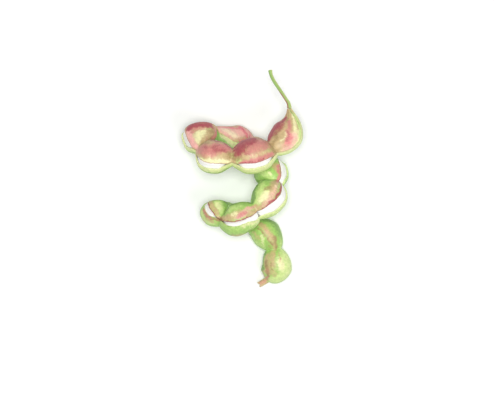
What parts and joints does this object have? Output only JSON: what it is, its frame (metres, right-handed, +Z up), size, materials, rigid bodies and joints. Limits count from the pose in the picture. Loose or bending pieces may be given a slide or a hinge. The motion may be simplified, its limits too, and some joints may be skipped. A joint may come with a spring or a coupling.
{
  "type": "manila tamarind pod",
  "caption": "Coiled seed pod of rounded chambers on its stalk, its valves partly open along the outer margin and showing pale arils, lying on its side.",
  "frame": {"origin": "on the surface that the pod lies on, under the middle of its bounding box", "axes": "+Y along the pod's length, from the beak to the cut end of the stalk; +Z up, away from the surface; +X to the right when looking down with the stalk at the top"},
  "size_m": [0.0506, 0.0912, 0.0402],
  "materials": {
    "husk": "satin",
    "aril": "satin",
    "stalk": "matt"
  },
  "bodies": {
    "root": {"husk": "husk", "aril_2": "aril", "aril_3": "aril", "aril_4": "aril", "aril_7": "aril", "aril_8": "aril", "aril_9": "aril", "aril_10": "aril", "stalk": "stalk"}
  },
  "joints": []
}
